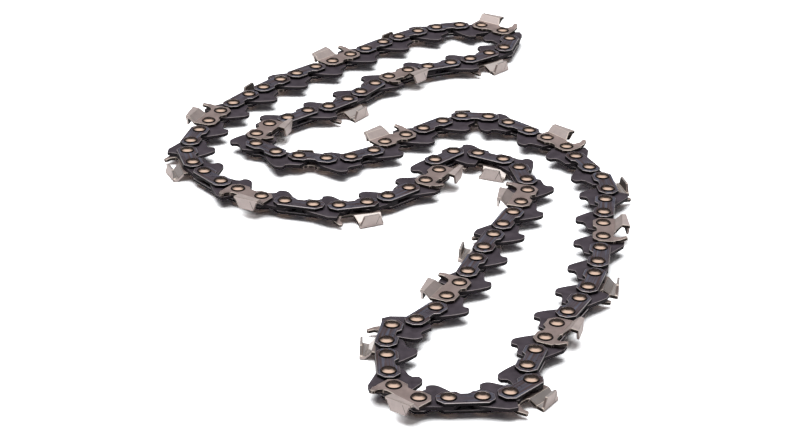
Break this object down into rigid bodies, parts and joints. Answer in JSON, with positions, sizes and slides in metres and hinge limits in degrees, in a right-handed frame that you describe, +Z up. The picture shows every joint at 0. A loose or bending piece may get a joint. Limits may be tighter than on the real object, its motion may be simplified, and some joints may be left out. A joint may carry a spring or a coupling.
{
  "type": "saw chain loop",
  "caption": "Closed loop of saw chain lying on its side: hooked drive links, tie straps, alternating right and left cutters with depth gauges, all riveted.",
  "frame": {"origin": "middle of the laid loop, on the ground under it", "axes": "+Z up from the ground, +Y along the loop's long way, away from the viewer"},
  "size_m": [0.1638, 0.3144, 0.0075],
  "materials": {
    "link_steel": "blued, satin",
    "strap_steel": "blued, satin",
    "cutter_steel": "plated and ground",
    "rivet_steel": "satin"
  },
  "bodies": {
    "main": {"main_bumper_links": "link_steel", "main_drive_links": "link_steel", "main_left_cutters": "cutter_steel", "main_left_straps": "strap_steel", "main_right_cutters": "cutter_steel", "main_right_straps": "strap_steel", "main_swing_rivets": "rivet_steel"},
    "outer": {"outer_bumper_links": "link_steel", "outer_drive_links": "link_steel", "outer_left_cutters": "cutter_steel", "outer_left_straps": "strap_steel", "outer_right_cutters": "cutter_steel", "outer_right_straps": "strap_steel", "outer_swing_rivets": "rivet_steel"},
    "inner": {"inner_bumper_links": "link_steel", "inner_drive_links": "link_steel", "inner_left_cutters": "cutter_steel", "inner_left_straps": "strap_steel", "inner_right_cutters": "cutter_steel", "inner_right_straps": "strap_steel", "inner_swing_rivets": "rivet_steel"},
    "front": {"front_bumper_links": "link_steel", "front_drive_links": "link_steel", "front_left_cutters": "cutter_steel", "front_left_straps": "strap_steel", "front_right_cutters": "cutter_steel", "front_right_straps": "strap_steel"}
  },
  "joints": [
    {"name": "front_swing", "type": "hinge", "parent": "main", "child": "outer", "pos_m": [0.06958, -0.03998, 0.00374], "axis": [0, 0, 1], "range_deg": [-22, 22]},
    {"name": "inner_swing", "type": "hinge", "parent": "main", "child": "inner", "pos_m": [0.04582, 0.00312, 0.00374], "axis": [0, 0, 1], "range_deg": [-22, 22]},
    {"name": "front_turn", "type": "hinge", "parent": "outer", "child": "front", "pos_m": [0.04124, -0.12819, 0.00374], "axis": [0, 0, 1], "range_deg": [-22, 22]}
  ],
  "couplings": [
    {"joint": "inner_swing", "follows": "front_swing", "ratio": 1},
    {"joint": "front_turn", "follows": "front_swing", "ratio": -1}
  ]
}
